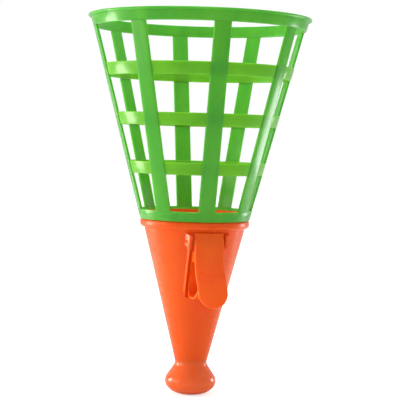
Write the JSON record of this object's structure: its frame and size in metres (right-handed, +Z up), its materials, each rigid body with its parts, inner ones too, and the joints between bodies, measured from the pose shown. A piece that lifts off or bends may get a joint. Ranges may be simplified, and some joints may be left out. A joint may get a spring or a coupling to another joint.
{
  "type": "pop and catch cup",
  "caption": "Hand-held pop and catch toy: a hollow cone handle with a round knob below, a squeeze trigger hinged on its side, and a flaring open lattice basket on top.",
  "frame": {"origin": "on the axis at the flat bottom of the knob", "axes": "+Z up along the axis towards the mouth of the basket, -Y towards the trigger, +X to the right as the trigger is faced"},
  "size_m": [0.1504, 0.1504, 0.255],
  "materials": {
    "basket": "smooth moulded green plastic, slightly translucent",
    "handle": "smooth moulded orange plastic",
    "trigger": "smooth moulded orange plastic",
    "hinge_pin": "moulded orange plastic",
    "spring": "drawn spring wire"
  },
  "bodies": {
    "cup": {"basket_rim": "basket", "hoop_1": "basket", "hoop_2": "basket", "hoop_3": "basket", "basket_foot": "basket", "stave_1": "basket", "stave_2": "basket", "stave_3": "basket", "stave_4": "basket", "stave_5": "basket", "stave_6": "basket", "stave_7": "basket", "stave_8": "basket", "handle_cone": "handle", "knob": "handle", "hinge_pin": "hinge_pin"},
    "trigger": {"trigger": "trigger", "return_spring": "spring"}
  },
  "joints": [
    {"name": "trigger_pivot", "type": "hinge", "parent": "cup", "child": "trigger", "pos_m": [0, -0.0313, 0.106], "axis": [1, 0, 0], "range_deg": [0, 18], "stiffness_Nm_per_rad": 0.12, "springref_deg": -20.05, "deforming": ["return_spring"]}
  ]
}
